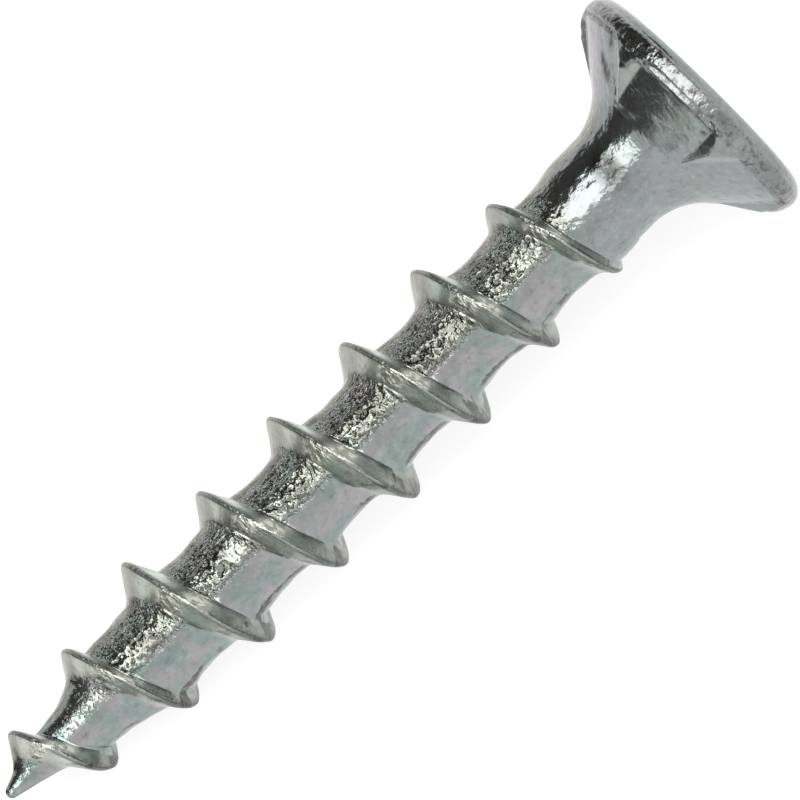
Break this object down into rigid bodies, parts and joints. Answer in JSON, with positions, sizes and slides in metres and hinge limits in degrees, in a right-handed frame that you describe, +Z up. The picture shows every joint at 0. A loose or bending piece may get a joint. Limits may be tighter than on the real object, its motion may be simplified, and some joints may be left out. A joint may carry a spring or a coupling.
{
  "type": "window frame screw",
  "caption": "Countersunk tapping screw with gimlet point, coarse right-hand thread, plain neck, flared head with cutting ribs and a cross recess, lying at rest on rim and thread.",
  "frame": {"origin": "on the surface the screw lies on, below the middle of its length and width", "axes": "+X along the screw from point to head, level; +Z up; the screw's own axis rises 5 degrees towards the head, in the XZ plane"},
  "size_m": [0.0252, 0.0072, 0.0072],
  "materials": {
    "zinc_plated_steel": "bright zinc plate with a fine speckle over rolled thread and pressed head"
  },
  "bodies": {
    "root": {"screw": "zinc_plated_steel"}
  },
  "joints": []
}
